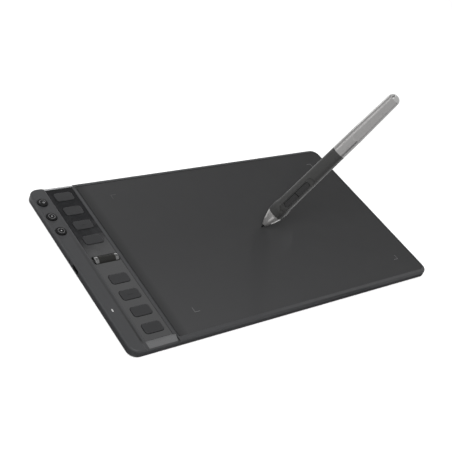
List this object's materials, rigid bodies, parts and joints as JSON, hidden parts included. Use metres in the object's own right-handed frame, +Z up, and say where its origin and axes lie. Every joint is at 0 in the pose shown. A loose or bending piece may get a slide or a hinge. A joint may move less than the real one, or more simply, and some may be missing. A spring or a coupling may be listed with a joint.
{
  "type": "graphics tablet",
  "caption": "Slim pen tablet with a matte drawing surface, a key strip with a scroll wheel, round group buttons, and a battery-free pen standing on it.",
  "frame": {"origin": "middle of the tablet's footprint, on the table top that its feet stand on", "axes": "+X along the long side from the key strip to the drawing side, +Y to the back, +Z up"},
  "size_m": [0.325, 0.181, 0.1569],
  "materials": {
    "housing_dark": "fine satin texture, dark graphite grey",
    "foot_rubber": "matte",
    "screw_steel": "plain zinc plated",
    "drawing_surface": "fine paper-like matte film, dark grey",
    "panel_gloss": "polished dark grey",
    "trim_silver": "satin silver",
    "wheel_silver": "turned, satin",
    "wheel_rubber": "matte with fine ribs",
    "magnet_grey": "sintered grey",
    "inner_plastic": "black moulded",
    "circuit_board": "green solder mask",
    "chip_black": "black epoxy",
    "light_white": "milky, lights up white",
    "spring_steel": "bright",
    "socket_steel": "rolled nickel plated shell",
    "shield_metal": "thin foil sheet",
    "ribbon_amber": "flexible film",
    "nib_black": "fine matte",
    "pen_grip_dark": "soft-touch dark grey",
    "coil_copper": "enamelled copper winding",
    "pen_button_gloss": "polished dark grey",
    "pen_silver": "satin silver paint",
    "pen_silver_bright": "polished silver paint",
    "key_gloss": "dark grey, semi-gloss",
    "button_dark": "near black, semi-gloss"
  },
  "bodies": {
    "tablet": {"top_cover": "housing_dark", "bottom_cover": "housing_dark", "rubber_feet": "foot_rubber", "cover_screws": "screw_steel", "drawing_sheet": "drawing_surface", "key_panel": "panel_gloss", "front_trim": "trim_silver", "rear_trim": "trim_silver", "wheel_cradle": "inner_plastic", "main_board": "circuit_board", "controller_chip": "chip_black", "wheel_sensor": "chip_black", "status_lamp": "light_white", "switch_domes": "spring_steel", "light_pipe": "light_white", "usb_socket": "socket_steel", "usb_tongue": "inner_plastic", "antenna_board": "circuit_board", "shield_sheet": "shield_metal", "antenna_ribbon": "ribbon_amber"},
    "scroll_wheel": {"wheel_hub": "wheel_silver", "wheel_grip": "wheel_rubber", "wheel_magnet": "magnet_grey"},
    "pen": {"pen_nose_cone": "pen_silver", "ferrite_core": "magnet_grey", "sensing_coil": "coil_copper", "pressure_sensor": "inner_plastic", "pen_grip": "pen_grip_dark", "pen_board": "circuit_board", "pen_switches": "spring_steel", "pen_barrel": "pen_silver", "pen_end_cap": "pen_silver_bright"},
    "nib": {"pen_nib": "nib_black", "nib_holder": "inner_plastic"},
    "pen_front_switch": {"pen_button_front": "pen_button_gloss"},
    "pen_rear_switch": {"pen_button_rear": "pen_button_gloss"},
    "key_1": {"press_key_1": "key_gloss"},
    "key_2": {"press_key_2": "key_gloss"},
    "key_3": {"press_key_3": "key_gloss"},
    "key_4": {"press_key_4": "key_gloss"},
    "key_5": {"press_key_5": "key_gloss"},
    "key_6": {"press_key_6": "key_gloss"},
    "key_7": {"press_key_7": "key_gloss"},
    "key_8": {"press_key_8": "key_gloss"},
    "group_1": {"group_button_1": "button_dark"},
    "group_2": {"group_button_2": "button_dark"},
    "group_3": {"group_button_3": "button_dark"}
  },
  "joints": [
    {"name": "key_1_press", "type": "slide", "parent": "tablet", "child": "key_1", "axis": [0, 0, 1], "range_m": [-0.0005, 0], "stiffness_N_per_m": 1200},
    {"name": "key_2_press", "type": "slide", "parent": "tablet", "child": "key_2", "axis": [0, 0, 1], "range_m": [-0.0005, 0], "stiffness_N_per_m": 1200},
    {"name": "key_3_press", "type": "slide", "parent": "tablet", "child": "key_3", "axis": [0, 0, 1], "range_m": [-0.0005, 0], "stiffness_N_per_m": 1200},
    {"name": "key_4_press", "type": "slide", "parent": "tablet", "child": "key_4", "axis": [0, 0, 1], "range_m": [-0.0005, 0], "stiffness_N_per_m": 1200},
    {"name": "key_5_press", "type": "slide", "parent": "tablet", "child": "key_5", "axis": [0, 0, 1], "range_m": [-0.0005, 0], "stiffness_N_per_m": 1200},
    {"name": "key_6_press", "type": "slide", "parent": "tablet", "child": "key_6", "axis": [0, 0, 1], "range_m": [-0.0005, 0], "stiffness_N_per_m": 1200},
    {"name": "key_7_press", "type": "slide", "parent": "tablet", "child": "key_7", "axis": [0, 0, 1], "range_m": [-0.0005, 0], "stiffness_N_per_m": 1200},
    {"name": "key_8_press", "type": "slide", "parent": "tablet", "child": "key_8", "axis": [0, 0, 1], "range_m": [-0.0005, 0], "stiffness_N_per_m": 1200},
    {"name": "group_1_press", "type": "slide", "parent": "tablet", "child": "group_1", "axis": [0, 0, 1], "range_m": [-0.0005, 0], "stiffness_N_per_m": 1200},
    {"name": "group_2_press", "type": "slide", "parent": "tablet", "child": "group_2", "axis": [0, 0, 1], "range_m": [-0.0005, 0], "stiffness_N_per_m": 1200},
    {"name": "group_3_press", "type": "slide", "parent": "tablet", "child": "group_3", "axis": [0, 0, 1], "range_m": [-0.0005, 0], "stiffness_N_per_m": 1200},
    {"name": "wheel_turn", "type": "hinge", "parent": "tablet", "child": "scroll_wheel", "pos_m": [-0.1348, 0.00265, 0.00545], "axis": [1, 0, 0], "continuous": true},
    {"name": "pen_lift", "type": "slide", "parent": "tablet", "child": "pen", "axis": [0, 0, 1], "range_m": [0, 0.03]},
    {"name": "nib_press", "type": "slide", "parent": "pen", "child": "nib", "axis": [0.4205, -0.0994, 0.9018], "range_m": [0, 0.0004], "stiffness_N_per_m": 4000},
    {"name": "pen_front_press", "type": "slide", "parent": "pen", "child": "pen_front_switch", "axis": [-0.702, -0.6654, 0.254], "range_m": [-0.0003, 0], "stiffness_N_per_m": 2500},
    {"name": "pen_rear_press", "type": "slide", "parent": "pen", "child": "pen_rear_switch", "axis": [-0.702, -0.6654, 0.254], "range_m": [-0.0003, 0], "stiffness_N_per_m": 2500}
  ]
}
